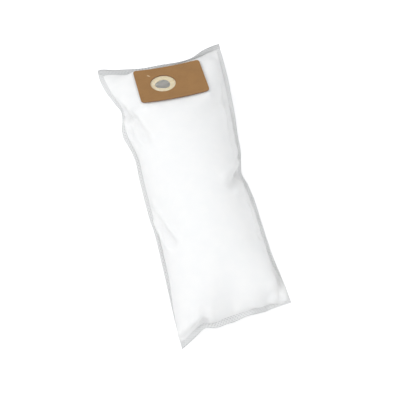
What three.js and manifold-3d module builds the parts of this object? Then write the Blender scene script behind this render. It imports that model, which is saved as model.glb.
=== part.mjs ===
// Fleece dust bag for a vacuum cleaner: a white nonwoven pillow bag, welded flat round all four edges,
// with a hardboard collar that holds a soft diaphragm over the inlet hole.
// Millimetres, +Z up. The bag lies on its back as it does on a table, collar upwards.
// X runs across the bag, +Y towards the collar end, and Z = 0 is the table.

import * as THREE from 'three';
import { mergeVertices } from 'three/addons/utils/BufferGeometryUtils.js';
import Module from 'manifold-3d';

// Bag, measured flat before it is filled with air
const bagWidth = 250;
const bagLength = 585;
const fleeceThickness = 1.0;
const sideWeldWidth = 8;
const endWeldWidth = 11;
const weldThickness = 0.9;

// Hardboard collar plate, bowed a little across its width
const plateWidth = 130;
const plateHeight = 95;
const plateThickness = 1.8;
const plateCornerRadius = 7;
const plateBowRadius = 640;
const plateFromTopWeld = 36;

// Inlet hole and the diaphragm that closes round the nozzle
const holeDiameter = 48;
const holeOffset = -15;
const sealThickness = 0.6;
const sealDiameter = 70;
const sealHoleDiameter = 27;
const sealDish = 0.4;

// Backing card that clamps the diaphragm and is glued to the fleece
const backingWidth = 106;
const backingHeight = 76;
const backingThickness = 1.0;
const backingCornerRadius = 5;
const fleeceHoleDiameter = 54;

// Clearance between pieces that lie on each other
const layerGap = 0.3;

// How the collar lies on the filled bag
const collarCentre = new THREE.Vector3(11.4, bagLength / 2 - 100.4, 86);
const collarTilt = THREE.MathUtils.degToRad(21);
const collarRoll = THREE.MathUtils.degToRad(10);
const collarYaw = THREE.MathUtils.degToRad(1.5);

// Heights of the four corners of the weld above the table
const cornerHeight = { topLeft: 43, topRight: 20, bottomRight: 60, bottomLeft: 18 };

// Each edge of the filled bag seen from above: [place along the edge, from 0 to 1; distance drawn in]
const leftEdge = [
  [0, 3], [0.057, 4], [0.115, 11], [0.165, 22], [0.19, 28.5], [0.22, 28], [0.255, 23.5], [0.29, 20],
  [0.34, 27], [0.39, 31], [0.448, 29], [0.583, 28], [0.645, 30], [0.77, 27.5], [0.923, 22.5], [1, 21],
];
const rightEdge = [
  [0, 1.5], [0.08, 3.5], [0.16, 6], [0.23, 10], [0.313, 15], [0.386, 21.5], [0.45, 25.5], [0.49, 31.5],
  [0.527, 36.5], [0.575, 31.5], [0.635, 28.5], [0.7, 28.5], [0.82, 27.5], [0.925, 23.5], [1, 22],
];
const topEdge = [
  [0, 6], [0.07, 11.5], [0.138, 17.5], [0.275, 26.5], [0.4, 33.5], [0.526, 39.5], [0.656, 44.5], [0.76, 41],
  [0.862, 27], [1, 13.5],
];
const bottomEdge = [
  [0, 0.5], [0.05, 2.5], [0.16, 10.5], [0.245, 16], [0.34, 12], [0.45, 17], [0.64, 17.5], [0.76, 20.5],
  [0.864, 19], [1, 15.5],
];

// Grid of cells between the welds, crowded towards them, where the fleece bends most
const cellsAcross = 20;
const cellsAlong = 48;
const weldCrowding = 0.3;

// Filling with air: push per square millimetre of fleece and sag in each step, and the stiffness of
// the fleece in shear, in bending and in bending within a weld, as shares of that along its threads
const airPush = 0.0020;
const airSteps = 500;
const sagPerStep = 0.001;
const slowing = 0.94;
const shearStiffness = 0.35;
const bendStiffness = 0.04;
const weldBendStiffness = 0.25;

// Flat position of a column or a row: -1 and cells + 1 are the outer edges of the weld strips
function flatPlace(number, cells, size, weld) {
  if (number < 0) return -size / 2;
  if (number > cells) return size / 2;
  const share = number / cells;
  const crowded = share - weldCrowding * Math.sin(2 * Math.PI * share) / (2 * Math.PI);
  return (crowded - 0.5) * (size - 2 * weld);
}
const flatX = (i) => flatPlace(i, cellsAcross, bagWidth, sideWeldWidth);
const flatY = (j) => flatPlace(j, cellsAlong, bagLength, endWeldWidth);

// The collar's own frame: x across the plate, y towards the bag's top end, z out of the plate's front
const collarFrame = new THREE.Matrix4()
  .makeRotationZ(collarYaw)
  .multiply(new THREE.Matrix4().makeRotationX(-collarTilt))
  .multiply(new THREE.Matrix4().makeRotationY(collarRoll))
  .setPosition(collarCentre);
const collarFrameInverse = collarFrame.clone().invert();

// Depth below the plate's front face at which each layer begins
const plateBack = plateThickness;
const sealFront = plateBack + layerGap;
const sealBack = sealFront + sealThickness;
const backingFront = sealBack + layerGap;
const backingBack = backingFront + backingThickness;
const fleeceMiddle = backingBack + layerGap + fleeceThickness / 2;

// Point of a layer at a distance across the bowed plate, in the collar's frame
function bowedPoint(across, up, depth) {
  const angle = across / plateBowRadius;
  const radius = plateBowRadius + depth;
  return new THREE.Vector3(radius * Math.sin(angle), up, plateBowRadius - radius * Math.cos(angle));
}

// Nodes of the two sheets, which share those of the welds
const columns = cellsAcross + 3;
const rows = cellsAlong + 3;
const frontNode = (i, j) => (j + 1) * columns + (i + 1);
const isShared = (i, j) => i <= 0 || j <= 0 || i >= cellsAcross || j >= cellsAlong;
const backNode = (i, j) => (isShared(i, j) ? frontNode(i, j) : rows * columns + frontNode(i, j));
const sheets = [frontNode, backNode];
const nodeCount = 2 * rows * columns;

const position = new Float64Array(nodeCount * 3);
const previous = new Float64Array(nodeCount * 3);
const push = new Float64Array(nodeCount * 3);
const held = new Uint8Array(nodeCount);
const guideX = new Float64Array(nodeCount);
const guideY = new Float64Array(nodeCount);

// The outline is led from the flat rectangle to the edges of the filled bag
function edgeCurve(points, place) {
  return new THREE.SplineCurve(points.map(([along, drawnIn]) => place(along, drawnIn)));
}
const leftCurve = edgeCurve(leftEdge, (along, drawnIn) => new THREE.Vector2(
  -bagWidth / 2 + drawnIn,
  THREE.MathUtils.lerp(bagLength / 2 - topEdge[0][1], -bagLength / 2 + bottomEdge[0][1], along),
));
const rightCurve = edgeCurve(rightEdge, (along, drawnIn) => new THREE.Vector2(
  bagWidth / 2 - drawnIn,
  THREE.MathUtils.lerp(bagLength / 2 - topEdge.at(-1)[1], -bagLength / 2 + bottomEdge.at(-1)[1], along),
));
const topCurve = edgeCurve(topEdge, (along, drawnIn) => new THREE.Vector2(
  THREE.MathUtils.lerp(-bagWidth / 2 + leftEdge[0][1], bagWidth / 2 - rightEdge[0][1], along),
  bagLength / 2 - drawnIn,
));
const bottomCurve = edgeCurve(bottomEdge, (along, drawnIn) => new THREE.Vector2(
  THREE.MathUtils.lerp(-bagWidth / 2 + leftEdge.at(-1)[1], bagWidth / 2 - rightEdge.at(-1)[1], along),
  -bagLength / 2 + drawnIn,
));

function guide(node, point) {
  guideX[node] = point.x;
  guideY[node] = point.y;
  held[node] = 1;
}
for (let j = -1; j <= cellsAlong + 1; j++) {
  const along = (bagLength / 2 - flatY(j)) / bagLength;
  guide(frontNode(-1, j), leftCurve.getPointAt(along));
  guide(frontNode(cellsAcross + 1, j), rightCurve.getPointAt(along));
}
for (let i = -1; i <= cellsAcross + 1; i++) {
  const along = (flatX(i) + bagWidth / 2) / bagWidth;
  guide(frontNode(i, -1), bottomCurve.getPointAt(along));
  guide(frontNode(i, cellsAlong + 1), topCurve.getPointAt(along));
}

const corners = [
  [frontNode(-1, cellsAlong + 1), cornerHeight.topLeft],
  [frontNode(cellsAcross + 1, cellsAlong + 1), cornerHeight.topRight],
  [frontNode(cellsAcross + 1, -1), cornerHeight.bottomRight],
  [frontNode(-1, -1), cornerHeight.bottomLeft],
];

// The fleece's own flat coordinates of the collar's centre
const collarFlatY = bagLength / 2 - endWeldWidth - plateFromTopWeld - plateHeight / 2;
const collarFlatX = 0;

const glued = [];
const nearCollar = [];
for (let j = 1; j < cellsAlong; j++) {
  for (let i = 1; i < cellsAcross; i++) {
    const across = flatX(i) - collarFlatX;
    const up = flatY(j) - collarFlatY;
    if (Math.abs(up) < plateHeight) nearCollar.push(frontNode(i, j));
    if (Math.abs(across) < plateWidth / 2 + 3 && Math.abs(up) < plateHeight / 2 + 3) {
      glued.push([frontNode(i, j), bowedPoint(across, up, fleeceMiddle).applyMatrix4(collarFrame)]);
    }
  }
}

// Start: the flat bag, its sheets a little apart
const seamHeight = (i, j) => {
  const across = (flatX(i) + bagWidth / 2) / bagWidth;
  const up = (flatY(j) + bagLength / 2) / bagLength;
  const { lerp } = THREE.MathUtils;
  return lerp(lerp(cornerHeight.bottomLeft, cornerHeight.bottomRight, across),
    lerp(cornerHeight.topLeft, cornerHeight.topRight, across), up);
};
for (let j = -1; j <= cellsAlong + 1; j++) {
  for (let i = -1; i <= cellsAcross + 1; i++) {
    const plump = isShared(i, j) ? 0
      : 6 * Math.sin(Math.PI * i / cellsAcross) * Math.sin(Math.PI * j / cellsAlong) + 1;
    sheets.forEach((node, side) => {
      const n = 3 * node(i, j);
      position[n] = flatX(i);
      position[n + 1] = flatY(j);
      position[n + 2] = seamHeight(i, j) + (side === 0 ? plump : -plump);
    });
  }
}
previous.set(position);

// Links between nodes: [node, node, length, stiffness]
const links = [];
for (const node of sheets) {
  for (let j = -1; j <= cellsAlong + 1; j++) {
    for (let i = -1; i <= cellsAcross + 1; i++) {
      for (const [di, dj] of [[1, 0], [0, 1], [1, 1], [-1, 1], [2, 0], [0, 2]]) {
        const k = i + di;
        const l = j + dj;
        if (k < -1 || k > cellsAcross + 1 || l > cellsAlong + 1) continue;
        const bend = Math.abs(di) + Math.abs(dj) === 2 && di * dj === 0;
        if (bend && isShared(i, j) !== isShared(k, l)) continue;
        const inWeld = isShared(i, j) && isShared(k, l);
        if (inWeld && node === backNode) continue;
        const length = Math.hypot(flatX(k) - flatX(i), flatY(l) - flatY(j));
        const diagonal = di * dj !== 0;
        const bendOrAlong = bend ? (inWeld ? weldBendStiffness : bendStiffness) : 1;
        links.push([3 * node(i, j), 3 * node(k, l), length, diagonal ? shearStiffness : bendOrAlong]);
      }
    }
  }
}

// Struts: least distances that keep the weld strips pointing away from both sheets, and the sheets apart
const struts = [];
const strutBetween = (a, b, least) => struts.push([3 * a, 3 * b, least]);
const stripSpread = 0.8;
const sheetSpread = 8;
for (const node of sheets) {
  const sideReach = stripSpread * (sideWeldWidth + flatX(1) - flatX(0));
  const endReach = stripSpread * (endWeldWidth + flatY(1) - flatY(0));
  for (let j = 1; j < cellsAlong; j++) {
    strutBetween(frontNode(-1, j), node(1, j), sideReach);
    strutBetween(frontNode(cellsAcross + 1, j), node(cellsAcross - 1, j), sideReach);
  }
  for (let i = 1; i < cellsAcross; i++) {
    strutBetween(frontNode(i, -1), node(i, 1), endReach);
    strutBetween(frontNode(i, cellsAlong + 1), node(i, cellsAlong - 1), endReach);
  }
}
for (let j = 1; j < cellsAlong; j++) {
  for (let i = 1; i < cellsAcross; i++) strutBetween(frontNode(i, j), backNode(i, j), sheetSpread);
}

function spread() {
  for (const [a, b, least] of struts) {
    const dx = position[b] - position[a];
    const dy = position[b + 1] - position[a + 1];
    const dz = position[b + 2] - position[a + 2];
    const now = Math.sqrt(dx * dx + dy * dy + dz * dz) || 1e-9;
    if (now >= least) continue;
    const share = 0.25 * (now - least) / now;
    position[a] += share * dx;
    position[a + 1] += share * dy;
    position[a + 2] += share * dz;
    position[b] -= share * dx;
    position[b + 1] -= share * dy;
    position[b + 2] -= share * dz;
  }
}

function project() {
  for (const [a, b, length, stiffness] of links) {
    const dx = position[b] - position[a];
    const dy = position[b + 1] - position[a + 1];
    const dz = position[b + 2] - position[a + 2];
    const now = Math.sqrt(dx * dx + dy * dy + dz * dz) || 1e-9;
    const share = 0.5 * stiffness * (now - length) / now;
    position[a] += share * dx;
    position[a + 1] += share * dy;
    position[a + 2] += share * dz;
    position[b] -= share * dx;
    position[b + 1] -= share * dy;
    position[b + 2] -= share * dz;
  }
}

function addPressure(pressure) {
  push.fill(0);
  const quad = (a, b, c, d, sign) => {
    const ux = position[c] - position[a];
    const uy = position[c + 1] - position[a + 1];
    const uz = position[c + 2] - position[a + 2];
    const vx = position[d] - position[b];
    const vy = position[d + 1] - position[b + 1];
    const vz = position[d + 2] - position[b + 2];
    const f = sign * pressure / 8;
    const nx = (uy * vz - uz * vy) * f;
    const ny = (uz * vx - ux * vz) * f;
    const nz = (ux * vy - uy * vx) * f;
    for (const n of [a, b, c, d]) {
      push[n] += nx;
      push[n + 1] += ny;
      push[n + 2] += nz;
    }
  };
  for (let j = 0; j < cellsAlong; j++) {
    for (let i = 0; i < cellsAcross; i++) {
      sheets.forEach((node, side) => quad(
        3 * node(i, j), 3 * node(i + 1, j), 3 * node(i + 1, j + 1), 3 * node(i, j + 1), side === 0 ? 1 : -1,
      ));
    }
  }
}

function settle(steps) {
  for (let step = 0; step < steps; step++) {
    const progress = Math.min(1, step / (0.4 * steps));
    addPressure(airPush * progress);
    for (let n = 0; n < nodeCount * 3; n++) {
      const velocity = (position[n] - previous[n]) * slowing;
      previous[n] = position[n];
      position[n] += velocity + push[n];
    }
    for (let n = 0; n < nodeCount; n++) position[3 * n + 2] -= sagPerStep;
    for (let pass = 0; pass < 12; pass++) {
      project();
      spread();
      constrain(progress);
    }
  }
}

const target = new THREE.Vector3();
function constrain(progress) {
  const { lerp } = THREE.MathUtils;
  for (let j = -1; j <= cellsAlong + 1; j++) {
    for (let i = -1; i <= cellsAcross + 1; i++) {
      const n = frontNode(i, j);
      if (held[n]) {
        position[3 * n] = lerp(flatX(i), guideX[n], progress);
        position[3 * n + 1] = lerp(flatY(j), guideY[n], progress);
      }
      if (!isShared(i, j)) {
        const b = 3 * backNode(i, j) + 2;
        position[b] = Math.max(position[b], fleeceThickness / 2);
      }
      position[3 * n + 2] = Math.max(position[3 * n + 2], fleeceThickness / 2);
    }
  }
  for (const n of nearCollar) {
    target.set(position[3 * n], position[3 * n + 1], position[3 * n + 2]).applyMatrix4(collarFrameInverse);
    const limit = bowedPoint(target.x, target.y, fleeceMiddle).z;
    if (Math.abs(target.x) > plateWidth / 2 + 14 || Math.abs(target.y) > plateHeight / 2 + 14) continue;
    if (target.z <= limit * progress + 40 * (1 - progress)) continue;
    target.setZ(limit).applyMatrix4(collarFrame);
    position[3 * n] = target.x;
    position[3 * n + 1] = target.y;
    position[3 * n + 2] = target.z;
  }
  for (const [n, height] of corners) position[3 * n + 2] = height;
  for (const [n, place] of glued) {
    const i = (n % columns) - 1;
    const j = Math.floor(n / columns) - 1;
    target.set(flatX(i), flatY(j), seamHeight(i, j) + 6).lerp(place, progress);
    position[3 * n] = target.x;
    position[3 * n + 1] = target.y;
    position[3 * n + 2] = target.z;
  }
}

settle(airSteps);

// Shell: outer and inner skins of the cloth

const at = (n) => new THREE.Vector3(position[3 * n], position[3 * n + 1], position[3 * n + 2]);

// Upward unit normals of the quads round a node, of those between the first and the last grid lines
function quadNormals(node, i, j, first) {
  const lastI = cellsAcross - first;
  const lastJ = cellsAlong - first;
  const normals = [];
  for (const [k, l] of [[i - 1, j - 1], [i, j - 1], [i - 1, j], [i, j]]) {
    if (k < first || l < first || k >= lastI || l >= lastJ) continue;
    const rising = at(node(k + 1, l + 1)).sub(at(node(k, l)));
    const falling = at(node(k, l + 1)).sub(at(node(k + 1, l)));
    normals.push(rising.cross(falling).normalize());
  }
  return normals;
}

// Node moved so that it lies at the same distance from each of the faces round it
function offsetNode(n, normals, distance, mostMitre) {
  const middle = new THREE.Vector3();
  normals.forEach((normal) => middle.add(normal));
  middle.normalize();
  const least = Math.min(...normals.map((normal) => normal.dot(middle)));
  const mitre = Math.min(mostMitre, 1 / Math.max(least, 0.1));
  return at(n).addScaledVector(middle, distance * mitre);
}

const vertices = [];
const triangles = [];
function vertex(point) {
  vertices.push(point.x, point.y, point.z);
  return vertices.length / 3 - 1;
}
function face(a, b, c, d, flip) {
  if (flip) triangles.push(a, c, b, a, d, c);
  else triangles.push(a, b, c, a, c, d);
}
function skin(node, first, lastI, lastJ, offset, flip) {
  const index = new Map();
  for (let j = first; j <= lastJ; j++) {
    for (let i = first; i <= lastI; i++) index.set(`${i},${j}`, offset(node, i, j));
  }
  for (let j = first; j < lastJ; j++) {
    for (let i = first; i < lastI; i++) {
      face(index.get(`${i},${j}`), index.get(`${i + 1},${j}`), index.get(`${i + 1},${j + 1}`),
        index.get(`${i},${j + 1}`), flip);
    }
  }
  return index;
}
const turned = (normals) => normals.map((normal) => normal.clone().negate());
const outerVertex = (node, i, j) => {
  const normals = quadNormals(node, i, j, -1);
  const half = (isShared(i, j) ? weldThickness : fleeceThickness) / 2;
  return vertex(offsetNode(node(i, j), node === frontNode ? normals : turned(normals), half, 1.5));
};
const innerShared = new Map();
const innerVertex = (node, i, j) => {
  const front = () => turned(quadNormals(frontNode, i, j, 0));
  const back = () => quadNormals(backNode, i, j, 0);
  if (!isShared(i, j)) {
    return vertex(offsetNode(node(i, j), node === frontNode ? front() : back(), fleeceThickness / 2, 1.5));
  }
  const key = `${i},${j}`;
  if (!innerShared.has(key)) {
    innerShared.set(key, vertex(offsetNode(node(i, j), [...front(), ...back()], fleeceThickness / 2, 4)));
  }
  return innerShared.get(key);
};

const frontSkin = skin(frontNode, -1, cellsAcross + 1, cellsAlong + 1, outerVertex, false);
const backSkin = skin(backNode, -1, cellsAcross + 1, cellsAlong + 1, outerVertex, true);
const rim = [];
for (let i = -1; i <= cellsAcross; i++) rim.push(`${i},-1`);
for (let j = -1; j <= cellsAlong; j++) rim.push(`${cellsAcross + 1},${j}`);
for (let i = cellsAcross + 1; i >= 0; i--) rim.push(`${i},${cellsAlong + 1}`);
for (let j = cellsAlong + 1; j >= 0; j--) rim.push(`-1,${j}`);
rim.forEach((key, n) => {
  const next = rim[(n + 1) % rim.length];
  face(frontSkin.get(key), backSkin.get(key), backSkin.get(next), frontSkin.get(next), false);
});
skin(frontNode, 0, cellsAcross, cellsAlong, innerVertex, true);
skin(backNode, 0, cellsAcross, cellsAlong, innerVertex, false);

// Solids

const wasm = await Module();
wasm.setup();

function solidOf(geometry) {
  const bare = new THREE.BufferGeometry();
  bare.setAttribute('position', geometry.getAttribute('position'));
  if (geometry.index) bare.setIndex(geometry.index);
  const merged = mergeVertices(bare, 1e-4);
  return new wasm.Manifold(new wasm.Mesh({
    numProp: 3,
    vertProperties: Float32Array.from(merged.getAttribute('position').array),
    triVerts: Uint32Array.from(merged.index.array),
  }));
}
function geometryOf(solid) {
  const mesh = solid.getMesh();
  const geometry = new THREE.BufferGeometry();
  geometry.setAttribute('position', new THREE.BufferAttribute(mesh.vertProperties, 3));
  geometry.setIndex(new THREE.BufferAttribute(mesh.triVerts, 1));
  return geometry;
}

const shellGeometry = new THREE.BufferGeometry();
shellGeometry.setAttribute('position', new THREE.Float32BufferAttribute(vertices, 3));
shellGeometry.setIndex(triangles);

// Round punch for the inlet hole, and its reach to either side of a layer of the collar
const punchReach = 12;
function inletPunch(diameter, depth, sides) {
  return new THREE.CylinderGeometry(diameter / 2, diameter / 2, 2 * punchReach, sides)
    .rotateX(Math.PI / 2)
    .translate(holeOffset, 0, -depth);
}
const fleeceSolid = solidOf(shellGeometry)
  .subtract(solidOf(inletPunch(fleeceHoleDiameter, fleeceMiddle, 48).applyMatrix4(collarFrame)));

function roundedRectangle(width, height, radius) {
  const right = width / 2 - radius;
  const top = height / 2 - radius;
  return new THREE.Shape()
    .absarc(right, top, radius, 0, 0.5 * Math.PI)
    .absarc(-right, top, radius, 0.5 * Math.PI, Math.PI)
    .absarc(-right, -top, radius, Math.PI, 1.5 * Math.PI)
    .absarc(right, -top, radius, 1.5 * Math.PI, 2 * Math.PI);
}

// Bowed card: a slice of a wide tube, trimmed to a rounded rectangle, with the inlet hole through it
function bowedCard(width, height, cornerRadius, front, thickness, hole) {
  const facetWidth = 8;
  const facets = 2 * Math.round(Math.PI * plateBowRadius / facetWidth);
  const roll = (depth) => {
    const radius = plateBowRadius + depth;
    const length = height + 2 * punchReach;
    return solidOf(new THREE.CylinderGeometry(radius, radius, length, facets, 1, false, Math.PI / facets)
      .translate(0, 0, plateBowRadius));
  };
  const blank = new THREE.ExtrudeGeometry(roundedRectangle(width, height, cornerRadius), {
    depth: 2 * punchReach,
    bevelEnabled: false,
    curveSegments: 5,
  }).translate(0, 0, -punchReach - front);
  const card = solidOf(blank)
    .intersect(roll(front + thickness))
    .subtract(roll(front))
    .subtract(solidOf(inletPunch(hole, front, 60)));
  return geometryOf(card).applyMatrix4(collarFrame);
}

// Rubber diaphragm: a dished disc with a slightly three-cornered opening
function diaphragm() {
  const around = 48;
  const rings = [0, 0.18, 0.4, 0.62, 0.8, 1];
  const openingRadius = (angle) => sealHoleDiameter / 2
    * (1 + 0.07 * Math.cos(3 * angle + 2.6) + 0.05 * Math.cos(2 * angle) + 0.035 * Math.cos(angle - 2.9));
  const points = [];
  const indices = [];
  const point = (ring, turn, depth) => {
    const angle = 2 * Math.PI * turn / around;
    const r = THREE.MathUtils.lerp(openingRadius(angle), sealDiameter / 2, ring);
    const freeWidth = (holeDiameter - sealHoleDiameter) / 2;
    const inlet = THREE.MathUtils.smoothstep(holeDiameter / 2 - r, 0, freeWidth);
    return bowedPoint(holeOffset + r * Math.cos(angle), r * Math.sin(angle), depth + sealDish * inlet);
  };
  [sealFront, sealBack].forEach((depth) => {
    rings.forEach((ring) => {
      for (let turn = 0; turn < around; turn++) points.push(...point(ring, turn, depth).toArray());
    });
  });
  const loops = rings.length;
  const number = (side, ring, turn) => (side * loops + ring) * around + (turn % around);
  const quad = (a, b, c, d) => indices.push(a, b, c, a, c, d);
  for (let turn = 0; turn < around; turn++) {
    const next = turn + 1;
    for (let ring = 0; ring < loops - 1; ring++) {
      const outward = ring + 1;
      quad(number(0, ring, turn), number(0, outward, turn), number(0, outward, next), number(0, ring, next));
      quad(number(1, ring, turn), number(1, ring, next), number(1, outward, next), number(1, outward, turn));
    }
    quad(number(0, 0, turn), number(0, 0, next), number(1, 0, next), number(1, 0, turn));
    quad(number(0, loops - 1, next), number(0, loops - 1, turn),
      number(1, loops - 1, turn), number(1, loops - 1, next));
  }
  const geometry = new THREE.BufferGeometry();
  geometry.setAttribute('position', new THREE.Float32BufferAttribute(points, 3));
  geometry.setIndex(indices);
  return geometry.applyMatrix4(collarFrame);
}

// Assembly

const bag = new THREE.Group();
function add(name, geometry, color, roughness) {
  const mesh = new THREE.Mesh(geometry, new THREE.MeshStandardMaterial({ color, roughness }));
  mesh.name = name;
  bag.add(mesh);
}
add('fleece_bag', geometryOf(fleeceSolid), 0xf1f3f5, 0.95);
add('collar_plate', bowedCard(
  plateWidth, plateHeight, plateCornerRadius, 0, plateThickness, holeDiameter,
), 0x9c774e, 0.85);
add('seal_diaphragm', diaphragm(), 0xe3d6b8, 0.6);
add('collar_backing', bowedCard(
  backingWidth, backingHeight, backingCornerRadius, backingFront, backingThickness, fleeceHoleDiameter,
), 0xcfc8bb, 0.9);

// The part's frame: origin on the table, under the middle of the bag
const bounds = new THREE.Box3().setFromObject(bag);
const middle = bounds.getCenter(new THREE.Vector3());
bag.position.set(-middle.x, -middle.y, -bounds.min.z);

export default bag;
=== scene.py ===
import math

import bpy
import numpy as np
from mathutils import Matrix, Vector


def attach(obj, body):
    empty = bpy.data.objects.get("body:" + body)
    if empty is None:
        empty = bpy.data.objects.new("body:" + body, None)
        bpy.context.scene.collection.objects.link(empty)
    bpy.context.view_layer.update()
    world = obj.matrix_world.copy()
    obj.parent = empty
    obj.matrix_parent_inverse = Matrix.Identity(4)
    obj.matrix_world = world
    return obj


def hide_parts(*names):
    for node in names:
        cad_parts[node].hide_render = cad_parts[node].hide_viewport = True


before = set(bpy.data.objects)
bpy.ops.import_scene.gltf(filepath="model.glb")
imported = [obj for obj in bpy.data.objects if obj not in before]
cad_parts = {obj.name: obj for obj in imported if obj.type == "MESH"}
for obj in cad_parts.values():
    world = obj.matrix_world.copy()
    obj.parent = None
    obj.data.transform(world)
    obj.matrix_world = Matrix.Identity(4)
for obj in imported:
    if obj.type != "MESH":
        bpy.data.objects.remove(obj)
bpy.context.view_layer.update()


# Fleece bag: two webs of layered white nonwoven, cut to one size, laid on each other and welded flat
# round all four edges with rows of small dots. Filled with air it swells like a pillow, and the
# welds gather and pinch. First comes its flat cut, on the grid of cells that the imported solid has.
flat_width, flat_length = 0.250, 0.585
side_weld, end_weld = 0.008, 0.011
fleece_thickness = 0.0010
cells_across, cells_along, crowding = 20, 48, 0.3
finer = 3


def flat_place(number, cells, size, weld):
    """Distance on the flat cut of a grid line's number; -1 and cells + 1 are the cut edges."""
    number = np.asarray(number, float)
    share = np.clip(number / cells, 0, 1)
    inner = (share - crowding * np.sin(2 * np.pi * share) / (2 * np.pi) - 0.5) * (size - 2 * weld)
    return inner + weld * (np.clip(number, cells, cells + 1) - cells) + weld * np.clip(number, -1, 0)


columns = flat_place(np.arange(-1, cells_across + 2), cells_across, flat_width, side_weld)
rows = flat_place(np.arange(-1, cells_along + 2), cells_along, flat_length, end_weld)

# The collar's place on the filled bag, and the bow that it gives the web glued behind it
plate_width, plate_height = 0.130, 0.095
plate_from_top_weld, glue_margin = 0.036, 0.003
collar = (Matrix.Translation((0.0106336, 0.1948443, 0.0860107))
          @ Matrix.Rotation(math.radians(1.5), 4, "Z") @ Matrix.Rotation(math.radians(-21), 4, "X")
          @ Matrix.Rotation(math.radians(10), 4, "Y"))
bow_radius, fleece_depth = 0.640, 0.0048
collar_on_flat = flat_length / 2 - end_weld - plate_from_top_weld - plate_height / 2


def behind_plate(u, v):
    """True where the flat cut lies behind the plate and the glue round it."""
    return ((np.abs(u) < plate_width / 2 + glue_margin)
            & (np.abs(v - collar_on_flat) < plate_height / 2 + glue_margin))


def on_collar(across, up, depth):
    """Places on the bowed collar, at this depth behind its front."""
    angle = across / bow_radius
    r = bow_radius + depth
    local = np.stack([r * np.sin(angle), up, bow_radius - r * np.cos(angle)], axis=-1)
    return local @ np.array(collar.to_3x3()).T + np.array(collar.translation)


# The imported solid's two outer skins are followed from cell to cell, each cell split along one
# diagonal, which gives every grid point its place on the filled bag.
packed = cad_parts["fleece_bag"].data
points = np.empty(3 * len(packed.vertices))
packed.vertices.foreach_get("co", points)
points, joined = np.unique(np.round(points.reshape(-1, 3), 6), axis=0, return_inverse=True)
joined = joined.ravel()
third = {}
for face in packed.polygons:
    a, b, c = (int(joined[k]) for k in face.vertices)
    third[a, b], third[b, c], third[c, a] = c, a, b

glued = behind_plate(*np.meshgrid(columns, rows))


def follow(over, first, second):
    """Grid points of one skin, from its lower left cell on; over gives a side's third corner."""
    opposite = over[first, second]
    cells = {(-1, -1): (first, second, opposite, over[first, opposite])}
    place, queue = {}, [(-1, -1)]
    while queue:
        i, j = queue.pop(0)
        a, b, c, d = cells[i, j]
        place.update({(i, j): a, (i + 1, j): b, (i + 1, j + 1): c, (i, j + 1): d})
        right, above = over.get((c, b)), over.get((d, c))
        left, below = over.get((a, d)), over.get((b, a))
        for cell, four in (((i + 1, j), (b, over.get((right, b)), right, c)),
                           ((i, j + 1), (d, c, above, over.get((d, above)))),
                           ((i - 1, j), (left, a, d, over.get((left, d)))),
                           ((i, j - 1), (below, over.get((below, b)), b, a))):
            k, l = cell
            if cell in cells or not (-1 <= k <= cells_across and -1 <= l <= cells_along):
                continue
            if over is third and glued[l + 1:l + 3, k + 1:k + 3].all():
                continue
            cells[cell] = four
            queue.append(cell)
    return place


# Both skins begin at the lower left corner of the weld, where one skin's next point on the cut edge
# lies across and the other's along
mirrored = {(b, a): c for (a, b), c in third.items()}
corner_pair = [int(k) for k in np.argsort(points[:, 0] + points[:, 1])[:2]]
begin = {}
for p, q in (corner_pair, corner_pair[::-1]):
    beyond = third[p, third[p, q]]
    step = points[beyond] - points[p]
    if abs(step[0]) > abs(step[1]):
        begin["front"] = (third, p, beyond)
    else:
        begin["back"] = (mirrored, p, third[p, third[p, beyond]])
coarse = np.full((2, cells_along + 3, cells_across + 3, 3), np.nan)
for layer, skin in enumerate(("front", "back")):
    for (i, j), k in follow(*begin[skin]).items():
        coarse[layer, j + 1, i + 1] = points[k]
across, along = np.meshgrid(columns, rows)
coarse[0][glued] = on_collar(across, along - collar_on_flat, fleece_depth)[glued]
welded = np.ones(glued.shape, bool)
welded[2:-2, 2:-2] = False
coarse[:, welded] = coarse[:, welded].mean(0)


def weights(cells):
    """Shares of the grid lines in the finer ones: a smooth curve, but straight across the welds."""
    fine = np.arange(-finer, (cells + 1) * finer + 1) / finer
    w = np.zeros((len(fine), cells + 3))
    for row, place in enumerate(fine):
        k = int(min(max(math.floor(place), -1), cells))
        s = place - k
        if k < 0 or k == cells:
            w[row, k + 1] += 1 - s
            w[row, min(k + 2, cells + 2)] += s
            continue
        shares = ((-s + 2 * s**2 - s**3) / 2, (2 - 5 * s**2 + 3 * s**3) / 2,
                  (s + 4 * s**2 - 3 * s**3) / 2, (s**3 - s**2) / 2)
        for line, share in zip(range(k - 1, k + 3), shares):
            if line < 0:
                w[row, 1] += 2 * share
                w[row, 2] -= share
            elif line > cells:
                w[row, cells + 1] += 2 * share
                w[row, cells] -= share
            else:
                w[row, line + 1] += share
    return w


filled = [np.einsum("ab,bcd,ec->aed", weights(cells_along), layer, weights(cells_across))
          for layer in coarse]


# The two webs, as flat grids of the finer cells. The front one carries the weld strips, and the back
# one is sewn to it along the weld lines.
def web(name, across, along):
    bpy.ops.object.select_all(action="DESELECT")
    bpy.ops.mesh.primitive_grid_add(x_subdivisions=across * finer, y_subdivisions=along * finer, size=1)
    sheet = bpy.context.object
    sheet.name = name
    middle = Matrix.Translation((cells_across / 2, cells_along / 2, 0))
    sheet.data.transform(middle @ Matrix.Diagonal((across, along, 1, 1)))
    return sheet


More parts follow.
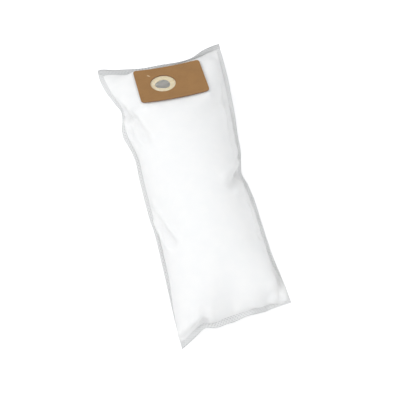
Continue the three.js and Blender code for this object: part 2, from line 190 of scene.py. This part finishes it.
almost = 0.01
front_web = web("front_web", cells_across + 2, cells_along + 2)
back_web = web("back_web", cells_across, cells_along)
for sheet, height in ((front_web, 1), (back_web, -1)):
    for vertex in sheet.data.vertices:
        x, y = vertex.co.xy
        free = almost < x < cells_across - almost and almost < y < cells_along - almost
        vertex.co.z = height if free else 0
back_web.data.flip_normals()
front_web.select_set(True)
bpy.context.view_layer.objects.active = front_web
bpy.ops.object.join()
bag = bpy.context.object
bag.name = "fleece_pillow"
bag.data.name = "fleece_pillow"
bpy.ops.object.mode_set(mode="EDIT")
bpy.ops.mesh.select_all(action="SELECT")
bpy.ops.mesh.remove_doubles(threshold=almost)
bpy.ops.object.mode_set(mode="OBJECT")

count = len(bag.data.vertices)
grid = np.empty(3 * count)
bag.data.vertices.foreach_get("co", grid)
grid = grid.reshape(-1, 3)
u = flat_place(grid[:, 0], cells_across, flat_width, side_weld)
v = flat_place(grid[:, 1], cells_along, flat_length, end_weld)
column, row = (np.round((grid[:, :2] + 1) * finer).astype(int)).T
on_front, on_back = grid[:, 2] > 0.5, grid[:, 2] < -0.5
place = np.where(on_back[:, None], filled[1][row, column], filled[0][row, column])
patch = on_front & behind_plate(u, v)
place[patch] = on_collar(u[patch], v[patch] - collar_on_flat, fleece_depth)
cut_edge = ((grid[:, 0] < -1 + almost) | (grid[:, 0] > cells_across + 1 - almost)
            | (grid[:, 1] < -1 + almost) | (grid[:, 1] > cells_along + 1 - almost))

# The flat cut is kept as the webs' own map, for the patterns that follow the cloth
cut_map = bag.data.uv_layers.active or bag.data.uv_layers.new()
cut_map.name = "cut"
corners = np.empty(len(bag.data.loops), dtype=int)
bag.data.loops.foreach_get("vertex_index", corners)
cut_map.data.foreach_set("uv", np.stack([u, v], axis=-1)[corners].ravel())

# Blown up again from the flat cut, on the finer cells, lying on the table: the air finds the small
# folds along the welds. The cut edge and the part glued to the collar keep their places.
bpy.ops.object.shape_key_add(from_mix=False)
bpy.ops.object.shape_key_add(from_mix=False)
filled_key, cut_key = bag.data.shape_keys.key_blocks
filled_key.data.foreach_set("co", place.ravel())
cut_key.data.foreach_set("co", np.stack([u, v, 0 * u], axis=-1).ravel())
bag.data.vertices.foreach_set("co", place.ravel())
kept = bag.vertex_groups.new(name="kept")
kept.add([int(k) for k in np.where(cut_edge | patch)[0]], 1.0, "REPLACE")
bpy.ops.object.select_all(action="DESELECT")
bpy.ops.mesh.primitive_plane_add(size=2, location=(0, 0, 0))
table = bpy.context.object
bpy.ops.object.modifier_add(type="COLLISION")
table.collision.thickness_outer = 0.0003
bpy.ops.object.select_all(action="DESELECT")
bag.select_set(True)
bpy.context.view_layer.objects.active = bag
bpy.ops.object.modifier_add(type="CLOTH")
cloth = bag.modifiers[-1]
cloth.settings.quality = 6
cloth.settings.mass = 0.001
cloth.settings.tension_stiffness = 20
cloth.settings.compression_stiffness = 20
cloth.settings.shear_stiffness = 10
cloth.settings.bending_stiffness = 0.1
cloth.settings.tension_damping = 5
cloth.settings.compression_damping = 5
cloth.settings.shear_damping = 5
cloth.settings.bending_damping = 0.5
cloth.settings.air_damping = 3
cloth.settings.vertex_group_mass = "kept"
cloth.settings.rest_shape_key = cut_key
cloth.settings.use_pressure = True
cloth.settings.uniform_pressure_force = 50
cloth.settings.effector_weights.gravity = 0
cloth.collision_settings.distance_min = 0.0003
cloth.collision_settings.collision_quality = 2
settling_frames = 20
cloth.point_cache.frame_end = settling_frames
for moment in range(1, settling_frames + 1):
    bpy.context.scene.frame_set(moment)
bpy.ops.object.convert(target="MESH")
bpy.data.objects.remove(table)
bag.vertex_groups.clear()
bpy.ops.object.select_all(action="DESELECT")
bag.select_set(True)
bpy.context.view_layer.objects.active = bag

# The top weld lies flatter on its left, with the strip's edge turned out a little. Behind the plate's
# right corner it is drawn in under the plate, and the strip stands off from it, clear of the webs.
blown = np.empty(3 * count)
bag.data.vertices.foreach_get("co", blown)
blown = blown.reshape(-1, 3)
top_weld = flat_length / 2 - end_weld
shifted_length = 0.045
flatter_from_left, flatter_share = (-flat_width / 2, -0.085, -0.050, 0), (0.55, 1, 1, 0)
fading = np.clip(1 - np.maximum(0, top_weld - v) / shifted_length, 0, 1)**2
# The share of a strip's width: 0 on the cut edge, 1 on the weld line and inside it
up_to_top_weld = np.clip((flat_length / 2 - v) / end_weld, 0, 1)
up_to_side_weld = np.clip((flat_width / 2 - np.abs(u)) / side_weld, 0, 1)


def near(middle, half_width):
    """A bell across the flat cut: 1 at the middle, falling off to both sides."""
    return np.exp(-((u - middle) / half_width)**2)


def shift(share, outwards, upwards):
    """Moves each point by its share of a step towards the top end and a step up."""
    blown[:, 1] += share * outwards
    blown[:, 2] += share * upwards


on_left = np.interp(u, flatter_from_left, flatter_share)
shift(on_left * up_to_side_weld * up_to_top_weld * fading * ~patch, outwards=-0.0105, upwards=-0.0050)
shift(near(middle=-0.065, half_width=0.030) * (1 - up_to_top_weld), outwards=0.0022, upwards=0)
behind_corner = near(middle=0.050, half_width=0.028) * fading * ~patch
shift(behind_corner, outwards=-0.0045, upwards=-0.0010)
shift(behind_corner * (1 - up_to_top_weld), outwards=0.0060, upwards=0)


# Both webs are drawn nearly straight from the top weld, the front one only as far as the collar,
# because the card holds it there
def whole_web(other_web):
    """The points of one web and the weld strips round it, by column and row."""
    own = np.where(~other_web)[0]
    by_place = np.empty((column.max() + 1, row.max() + 1), int)
    by_place[column[own], row[own]] = own
    return by_place


front_points, back_points = whole_web(on_back), whole_web(on_front)
taut_length, up_to_glue, hair = 0.052, plate_from_top_weld - glue_margin, 0.00001
fade_to_side_weld, fade_past_plate, full_pull_from = 0.012, 0.020, 1 / 3
from_side_weld = flat_width / 2 - side_weld - np.abs(u)
past_plate = np.clip((np.abs(u) - plate_width / 2 - glue_margin) / fade_past_plate, 0, 1)
front_reach = (1 - past_plate) * up_to_glue + past_plate * taut_length
back_reach = np.full(count, taut_length)
for web_points, reach, tautness in ((back_points, back_reach, 1.0), (front_points, front_reach, 0.85)):
    for line in web_points:
        below = top_weld - v[line]
        line = line[(below >= 0) & (below < reach[line] + hair)]
        start, end = line[0], line[-1]
        share = (v[line] - v[start]) / (v[end] - v[start])
        pull = tautness * np.clip(from_side_weld[line] / fade_to_side_weld, 0, 1)
        pull = pull * np.minimum(1, share / full_pull_from)
        straight = (1 - share)[:, None] * blown[start] + share[:, None] * blown[end]
        blown[line] += pull[:, None] * (straight - blown[line])

# Away from the welds the stiff fleece carries no small wrinkles, so the front web is eased there, by
# moving each point half way to the middle of its four neighbours, time and again
easing_passes, ease_from_sides, ease_from_ends = 30, 0.050, 0.040
ease = 0.5 * (on_front & ~patch) * np.clip(from_side_weld / ease_from_sides, 0, 1)
ease = (ease * np.clip((top_weld - np.abs(v)) / ease_from_ends, 0, 1))[front_points][1:-1, 1:-1, None]
smooth = blown[front_points]
for easing_pass in range(easing_passes):
    beside = (smooth[2:, 1:-1] + smooth[:-2, 1:-1] + smooth[1:-1, 2:] + smooth[1:-1, :-2]) / 4
    smooth[1:-1, 1:-1] += ease * (beside - smooth[1:-1, 1:-1])
blown[front_points] = smooth

# The sharpest folds, pinched in where the welds buckle, with a low ridge along both sides: on the flat
# cut, in millimetres, from the weld to the fold's far end, then its half width and its depth
folds = (
    ((-112, 172), (-90, 138), 8, 8), ((-92, 142), (-70, 86), 8, 8), ((-107, 160), (-100, 112), 6, 9),
    ((-108, -46), (-72, -120), 8, 9),
    ((116, -12), (66, -46), 10, 12), ((110, -30), (104, -150), 7, 5), ((108, 170), (100, 20), 7, 4),
    ((-62, -268), (-112, -280), 6, 5), ((-57, -274), (-48, -246), 8, 4),
    ((112, -235), (76, -266), 8, 2),
)
depth_lost_at_end = 0.5
ridge_height, ridge_off_fold, ridge_sharpness = 0.45, 1.7, 2
normals = np.empty(3 * count)
bag.data.vertices.foreach_set("co", blown.ravel())
bag.data.update()
bag.data.vertex_normals.foreach_get("vector", normals)
normals = normals.reshape(-1, 3)
for (u0, v0), (u1, v1), half_width, depth in folds:
    du, dv = u1 - u0, v1 - v0
    run = math.hypot(du, dv)
    along_fold = ((1000 * u - u0) * du + (1000 * v - v0) * dv) / run**2
    off_fold = ((1000 * u - u0) * dv - (1000 * v - v0) * du) / run / half_width
    past_end = np.maximum(0, np.maximum(-along_fold, along_fold - 1)) * run / half_width
    inward = np.exp(-off_fold**2 - past_end**2) * (1 - depth_lost_at_end * np.clip(along_fold, 0, 1))
    off_ridge = np.abs(off_fold) - ridge_off_fold
    ridge = ridge_height * np.exp(-off_ridge**2 * ridge_sharpness - past_end**2)
    press = np.where(on_front & ~patch, (ridge - inward) * depth / 1000, 0)
    blown += press[:, None] * normals
blown[:, 2] = np.maximum(blown[:, 2], fleece_thickness / 2)
bag.data.vertices.foreach_set("co", blown.ravel())
bag.data.update()

# The inlet is cut out of the front web, behind the collar, and the webs get their thickness
inlet_offset, fleece_inlet_radius = -0.015, 0.027
from_inlet = np.hypot(u - inlet_offset, v - collar_on_flat)
bpy.ops.object.mode_set(mode="EDIT")
bpy.ops.mesh.select_mode(type="FACE")
bpy.ops.mesh.select_all(action="DESELECT")
bpy.ops.object.mode_set(mode="OBJECT")
for face in bag.data.polygons:
    face.select = all(on_front[k] and from_inlet[k] < fleece_inlet_radius for k in face.vertices)
bpy.ops.object.mode_set(mode="EDIT")
bpy.ops.mesh.delete(type="FACE")
bpy.ops.object.mode_set(mode="OBJECT")
bpy.ops.object.shade_smooth()
bpy.ops.object.modifier_add(type="SOLIDIFY")
wall = bag.modifiers[-1]
wall.solidify_mode = "NON_MANIFOLD"
wall.nonmanifold_thickness_mode = "FIXED"
wall.thickness = fleece_thickness
wall.offset = 0
bpy.ops.object.modifier_apply(modifier=wall.name)


class Finish:
    """A new material and the few kinds of node that its pattern is made with."""

    def __init__(self, name, roughness):
        self.material = bpy.data.materials.new(name)
        self.material.use_nodes = True
        self.tree = self.material.node_tree
        self.shader = self.tree.nodes["Principled BSDF"]
        self.shader.inputs["Roughness"].default_value = roughness

    def node(self, kind, inputs, **settings):
        made = self.tree.nodes.new(kind)
        for key, value in settings.items():
            setattr(made, key, value)
        for key, value in inputs.items():
            if isinstance(value, bpy.types.NodeSocket):
                self.tree.links.new(value, made.inputs[key])
            else:
                made.inputs[key].default_value = value
        return made

    def calc(self, operation, a, b=0.0, c=0.0):
        return self.node("ShaderNodeMath", {0: a, 1: b, 2: c}, operation=operation).outputs[0]

    def ramp(self, value, low, high):
        """0 where the value is at low, 1 where it is at high."""
        made = self.node("ShaderNodeMapRange", {"Value": value, "From Min": low, "From Max": high},
                         interpolation_type="SMOOTHSTEP")
        return made.outputs["Result"]

    def noise(self, place, scale, detail=3.0):
        made = self.node("ShaderNodeTexNoise", {"Vector": place, "Scale": scale, "Detail": detail})
        return made.outputs["Fac"]

    def mix(self, share, a, b, how="MIX"):
        made = self.node("ShaderNodeMix", {0: share, 6: a, 7: b}, data_type="RGBA", blend_type=how)
        return made.outputs[2]

    def colour(self, socket):
        self.tree.links.new(socket, self.shader.inputs["Base Color"])

    def relief(self, height, depth):
        made = self.node("ShaderNodeBump", {"Height": height, "Distance": depth, "Strength": 1.0})
        self.tree.links.new(made.outputs["Normal"], self.shader.inputs["Normal"])

    def surface(self, shader):
        """Puts another shader on the surface in place of the plain one."""
        self.tree.links.new(shader, self.tree.nodes["Material Output"].inputs["Surface"])


# Fleece: matt white fibres, thermally bonded in a fine lattice of points, and letting some light
# through. In the weld strips it is pressed thin and grey, with staggered rows of welding dots. The
# top strip is painted a darker grey than the other strips, as painted shade.
fleece_white, cloud_white = (0.945, 0.950, 0.955, 1), (0.920, 0.930, 0.940, 1)
# The darker top weld grey is painted shade on the top strip.
weld_grey, top_weld_shade_grey = (0.80, 0.81, 0.82, 1), (0.60, 0.61, 0.62, 1)
dot_grey, glow_white = (0.33, 0.34, 0.36, 1), (0.97, 0.955, 0.92, 1)
dot_pitch, bond_pitch, weld_blur = 0.0062, 0.0013, 0.0006
dots_sunk, bonds_sunk, fibre_relief = 3.0, 0.35, 0.00012
light_through = 0.36
fleece = Finish("fleece", roughness=0.92)
cut_place = fleece.node("ShaderNodeUVMap", {}, uv_map="cut").outputs["UV"]
on_cut = fleece.node("ShaderNodeSeparateXYZ", {0: cut_place})
on_cut_x, on_cut_y = on_cut.outputs["X"], on_cut.outputs["Y"]
from_side = fleece.calc("SUBTRACT", flat_width / 2, fleece.calc("ABSOLUTE", on_cut_x))
from_end = fleece.calc("SUBTRACT", flat_length / 2, fleece.calc("ABSOLUTE", on_cut_y))
weld = fleece.calc("MAXIMUM", fleece.ramp(from_side, side_weld + weld_blur, side_weld - weld_blur),
                   fleece.ramp(from_end, end_weld + weld_blur, end_weld - weld_blur))
# The top strip's mask, which carries its painted shade
top_strip_painted_shade = fleece.ramp(on_cut_y, top_weld - weld_blur, top_weld + weld_blur)


def lattice(pitch):
    """Staggered rows of points over the flat cut: 1 at each point, falling off round it."""
    waves = [fleece.calc("COSINE", fleece.calc("MULTIPLY", place, 2 * math.pi / pitch))
             for place in (on_cut_x, on_cut_y)]
    return fleece.calc("MULTIPLY", *waves)


dots = fleece.calc("MULTIPLY", fleece.ramp(lattice(dot_pitch), 0.15, 0.7), weld)
bonds = fleece.ramp(lattice(bond_pitch), 0.3, 0.8)
everywhere = fleece.node("ShaderNodeTexCoord", {}).outputs["Object"]
clouds = fleece.ramp(fleece.noise(everywhere, scale=55.0), 0.35, 0.65)
fibres = fleece.noise(everywhere, scale=900.0, detail=4.0)
body_colour = fleece.mix(clouds, fleece_white, cloud_white)
strip_colour = fleece.mix(dots, fleece.mix(top_strip_painted_shade, weld_grey, top_weld_shade_grey), dot_grey)
fleece.colour(fleece.mix(weld, body_colour, strip_colour))
fluff = fleece.calc("MULTIPLY_ADD", bonds, -bonds_sunk, fibres)
fleece.relief(fleece.calc("MULTIPLY_ADD", dots, -dots_sunk, fluff), fibre_relief)
fleece.shader.inputs["Specular IOR Level"].default_value = 0.2
fleece.shader.inputs["Sheen Weight"].default_value = 0.15
glow_through = fleece.node("ShaderNodeBsdfTranslucent", {"Color": glow_white})
cloth_shader = fleece.node("ShaderNodeMixShader", {
    0: light_through, 1: fleece.shader.outputs["BSDF"], 2: glow_through.outputs["BSDF"]})
fleece.surface(cloth_shader.outputs[0])
bag.data.materials.clear()
bag.data.materials.append(fleece.material)
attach(bag, "root")
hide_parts("fleece_bag")


# Backing card: plain grey paperboard, glued to the fleece from outside. It clamps the diaphragm
# against the back of the collar plate, and only its edge can be seen in the narrow gap there.
def dress(node_name, finish):
    """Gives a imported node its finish."""
    packed_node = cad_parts[node_name]
    packed_node.data.materials.clear()
    packed_node.data.materials.append(finish.material)


def plate_place(finish):
    """Place on the collar: x across the plate, y towards the bag's top end, z out of its front."""
    matrix = collar.inverted()
    everywhere = finish.node("ShaderNodeTexCoord", {}).outputs["Object"]
    mapped = finish.node("ShaderNodeMapping", {
        "Vector": everywhere, "Location": matrix.translation, "Rotation": matrix.to_euler()})
    return mapped.outputs["Vector"]


card_grey, fleck_grey = (0.60, 0.57, 0.50, 1), (0.50, 0.47, 0.41, 1)
card = Finish("backing_card", roughness=0.9)
on_card = plate_place(card)
card_flecks = card.ramp(card.noise(on_card, scale=1400.0, detail=4.0), 0.35, 0.7)
card.colour(card.mix(card_flecks, card_grey, fleck_grey))
card.relief(card_flecks, depth=0.00008)
dress("collar_backing", card)


# Diaphragm: one disc of soft cream rubber sheet, dished a little towards the bag by the nozzle that it
# closes round, with a small rounded three-cornered opening. It is dusted with talc and matt.
rubber_cream, talc_cream = (0.61, 0.52, 0.34, 1), (0.67, 0.595, 0.43, 1)
rubber = Finish("seal_rubber", roughness=0.62)
on_seal = plate_place(rubber)
talc = rubber.ramp(rubber.noise(on_seal, scale=260.0, detail=4.0), 0.35, 0.7)
rubber.colour(rubber.mix(talc, rubber_cream, talc_cream))
rubber.relief(rubber.noise(on_seal, scale=1600.0, detail=2.0), depth=0.00005)
rubber.shader.inputs["Subsurface Weight"].default_value = 0.4
rubber.shader.inputs["Subsurface Radius"].default_value = (1.0, 0.8, 0.5)
rubber.shader.inputs["Subsurface Scale"].default_value = 0.0006
dress("seal_diaphragm", rubber)


# Collar plate: brown hardboard pressed from wood fibres, stamped to its outline, with corners rubbed.
# Its side faces are painted darker, as painted shade. A chip of the pale core shows above the inlet
# hole.
fibre_brown, shive_brown = (0.231, 0.114, 0.034, 1), (0.294, 0.156, 0.053, 1)
# The darker edge brown is painted shade on the plate's side faces.
stain_brown, edge_shade_brown = (0.330, 0.168, 0.052, 1), (0.17, 0.078, 0.040, 1)
rubbed_brown, chip_brown = (0.55, 0.36, 0.19, 1), (0.62, 0.47, 0.29, 1)
grain, stain_strength, rubbed_strength = (1.0, 2.6, 1.0), 0.35, 0.22
chip_x, chip_y, chip_length, chip_width, chip_turn = -0.0379, 0.0274, 0.0042, 0.0013, math.radians(-40)
board = Finish("hardboard", roughness=0.8)
on_board = plate_place(board)
along_grain = board.node("ShaderNodeMapping", {"Vector": on_board, "Scale": grain}).outputs["Vector"]
shive = board.ramp(board.noise(along_grain, scale=950.0, detail=5.0), 0.3, 0.75)
stain = board.ramp(board.noise(on_board, scale=38.0), 0.3, 0.7)
brown = board.mix(shive, fibre_brown, shive_brown)
brown = board.mix(board.calc("MULTIPLY", stain, stain_strength), brown, stain_brown)
# Painted shade: faces turned away from the plate's front, its cut edges and the wall of its hole, get a
# darker brown
facing = board.node("ShaderNodeNewGeometry", {}).outputs["Normal"]
front_direction = collar.to_3x3() @ Vector((0, 0, 1))
faces_front = board.node("ShaderNodeVectorMath", {0: facing, 1: front_direction},
                         operation="DOT_PRODUCT").outputs["Value"]
side_faces_shaded = board.ramp(board.calc("ABSOLUTE", faces_front), 0.75, 0.5)
brown = board.mix(side_faces_shaded, brown, edge_shade_brown)
board_axes = board.node("ShaderNodeSeparateXYZ", {0: on_board})
from_edges = [board.calc("SUBTRACT", size / 2, board.calc("ABSOLUTE", board_axes.outputs[axis]))
              for size, axis in ((plate_width, "X"), (plate_height, "Y"))]
at_rim = board.ramp(board.calc("MINIMUM", *from_edges), 0.0016, 0.0003)
in_patches = board.ramp(board.noise(on_board, scale=300.0), 0.45, 0.62)
rubbed = board.calc("MULTIPLY", at_rim, in_patches)
brown = board.mix(board.calc("MULTIPLY", rubbed, rubbed_strength), brown, rubbed_brown)
on_chip = board.node("ShaderNodeMapping", {
    "Vector": on_board, "Location": (chip_x, chip_y, 0), "Rotation": (0, 0, chip_turn),
    "Scale": (chip_length, chip_width, 1)}, vector_type="TEXTURE").outputs["Vector"]
chip_axes = board.node("ShaderNodeSeparateXYZ", {0: on_chip})
chip_reach = board.calc("SQRT", board.calc("ADD", board.calc("POWER", chip_axes.outputs["X"], 2.0),
                                           board.calc("POWER", chip_axes.outputs["Y"], 2.0)))
brown = board.mix(board.ramp(chip_reach, 1.0, 0.6), brown, chip_brown)
board.colour(brown)
board_fibres = board.noise(on_board, scale=2600.0, detail=2.0)
board.relief(board.calc("MULTIPLY_ADD", shive, 0.6, board_fibres), depth=0.00009)
dress("collar_plate", board)


# Floor, light and camera: a pale paper floor that the camera sees as white, with the bag's own soft
# shadow. The sky lights the bag evenly, and is seen brighter than it shines, as white as the floor.
floor_grey, floor_lift = (0.80, 0.80, 0.80, 1), 0.35
bpy.ops.object.select_all(action="DESELECT")
bpy.ops.mesh.primitive_plane_add(size=30, location=(0, 0, 0))
floor = bpy.context.object
floor.name = "floor"
paper = Finish("floor_paper", roughness=1.0)
paper.shader.inputs["Base Color"].default_value = floor_grey
paper.shader.inputs["Specular IOR Level"].default_value = 0.0
rays = paper.node("ShaderNodeLightPath", {})
seen = paper.calc("MAXIMUM", rays.outputs["Is Camera Ray"], paper.calc(
    "MAXIMUM", rays.outputs["Is Glossy Ray"], rays.outputs["Is Transmission Ray"]))
glow = paper.node("ShaderNodeEmission", {"Strength": paper.calc("MULTIPLY", seen, floor_lift)})
both = paper.node("ShaderNodeAddShader", {0: paper.shader.outputs["BSDF"], 1: glow.outputs["Emission"]})
paper.surface(both.outputs[0])
floor.data.materials.append(paper.material)

sky_colour, sky_strength, sky_seen = (0.965, 0.978, 1.0, 1), 0.88, 1.3
studio = bpy.data.worlds.new("studio")
bpy.context.scene.world = studio
studio.use_nodes = True
sky = studio.node_tree.nodes["Background"]
sky.inputs["Color"].default_value = sky_colour
glance = studio.node_tree.nodes.new("ShaderNodeLightPath")
sky_level = studio.node_tree.nodes.new("ShaderNodeMapRange")
sky_level.inputs["To Min"].default_value = sky_strength
sky_level.inputs["To Max"].default_value = sky_seen
studio.node_tree.links.new(glance.outputs["Is Camera Ray"], sky_level.inputs["Value"])
studio.node_tree.links.new(sky_level.outputs["Result"], sky.inputs["Strength"])


def aimed(place):
    """The turn of a lamp that looks from its place at the middle of the bag."""
    return (Vector((0, 0, 0.05)) - Vector(place)).to_track_quat("-Z", "Y").to_euler()


lamps = (("key", (-1.1, 0.35, 1.7), 1.0, 16.5), ("fill", (0.9, -1.4, 1.4), 1.2, 10.5))
for name, spot, size, power in lamps:
    bpy.ops.object.light_add(type="AREA", location=spot, rotation=aimed(spot))
    lamp = bpy.context.object
    lamp.name = name
    lamp.data.size = size
    lamp.data.energy = power

# The photograph was taken from high above the bag's foot, with the camera turned a little
azimuth, elevation, turn = math.radians(3.0), math.radians(68.5), math.radians(-19.5)
looked_at, distance = Vector((-0.0000334, -0.0342407, 0.039)), 1.740
focal_length_in_pixels, picture_width_in_pixels = 939.6, 400
level = Vector((math.cos(azimuth), math.sin(azimuth), 0))
backward = Vector((math.sin(azimuth) * math.cos(elevation), -math.cos(azimuth) * math.cos(elevation),
                   math.sin(elevation)))
upward = backward.cross(level)
right = math.cos(turn) * level + math.sin(turn) * upward
upright = -math.sin(turn) * level + math.cos(turn) * upward
eye = looked_at + backward * distance
bpy.ops.object.camera_add()
camera = bpy.context.object
camera.matrix_world = Matrix((
    (right.x, upright.x, backward.x, eye.x),
    (right.y, upright.y, backward.y, eye.y),
    (right.z, upright.z, backward.z, eye.z),
    (0, 0, 0, 1),
))
camera.data.sensor_width = 36
camera.data.lens = camera.data.sensor_width * focal_length_in_pixels / picture_width_in_pixels
camera.data.clip_end = 100
bpy.context.scene.camera = camera
bpy.context.scene.view_settings.view_transform = "Standard"
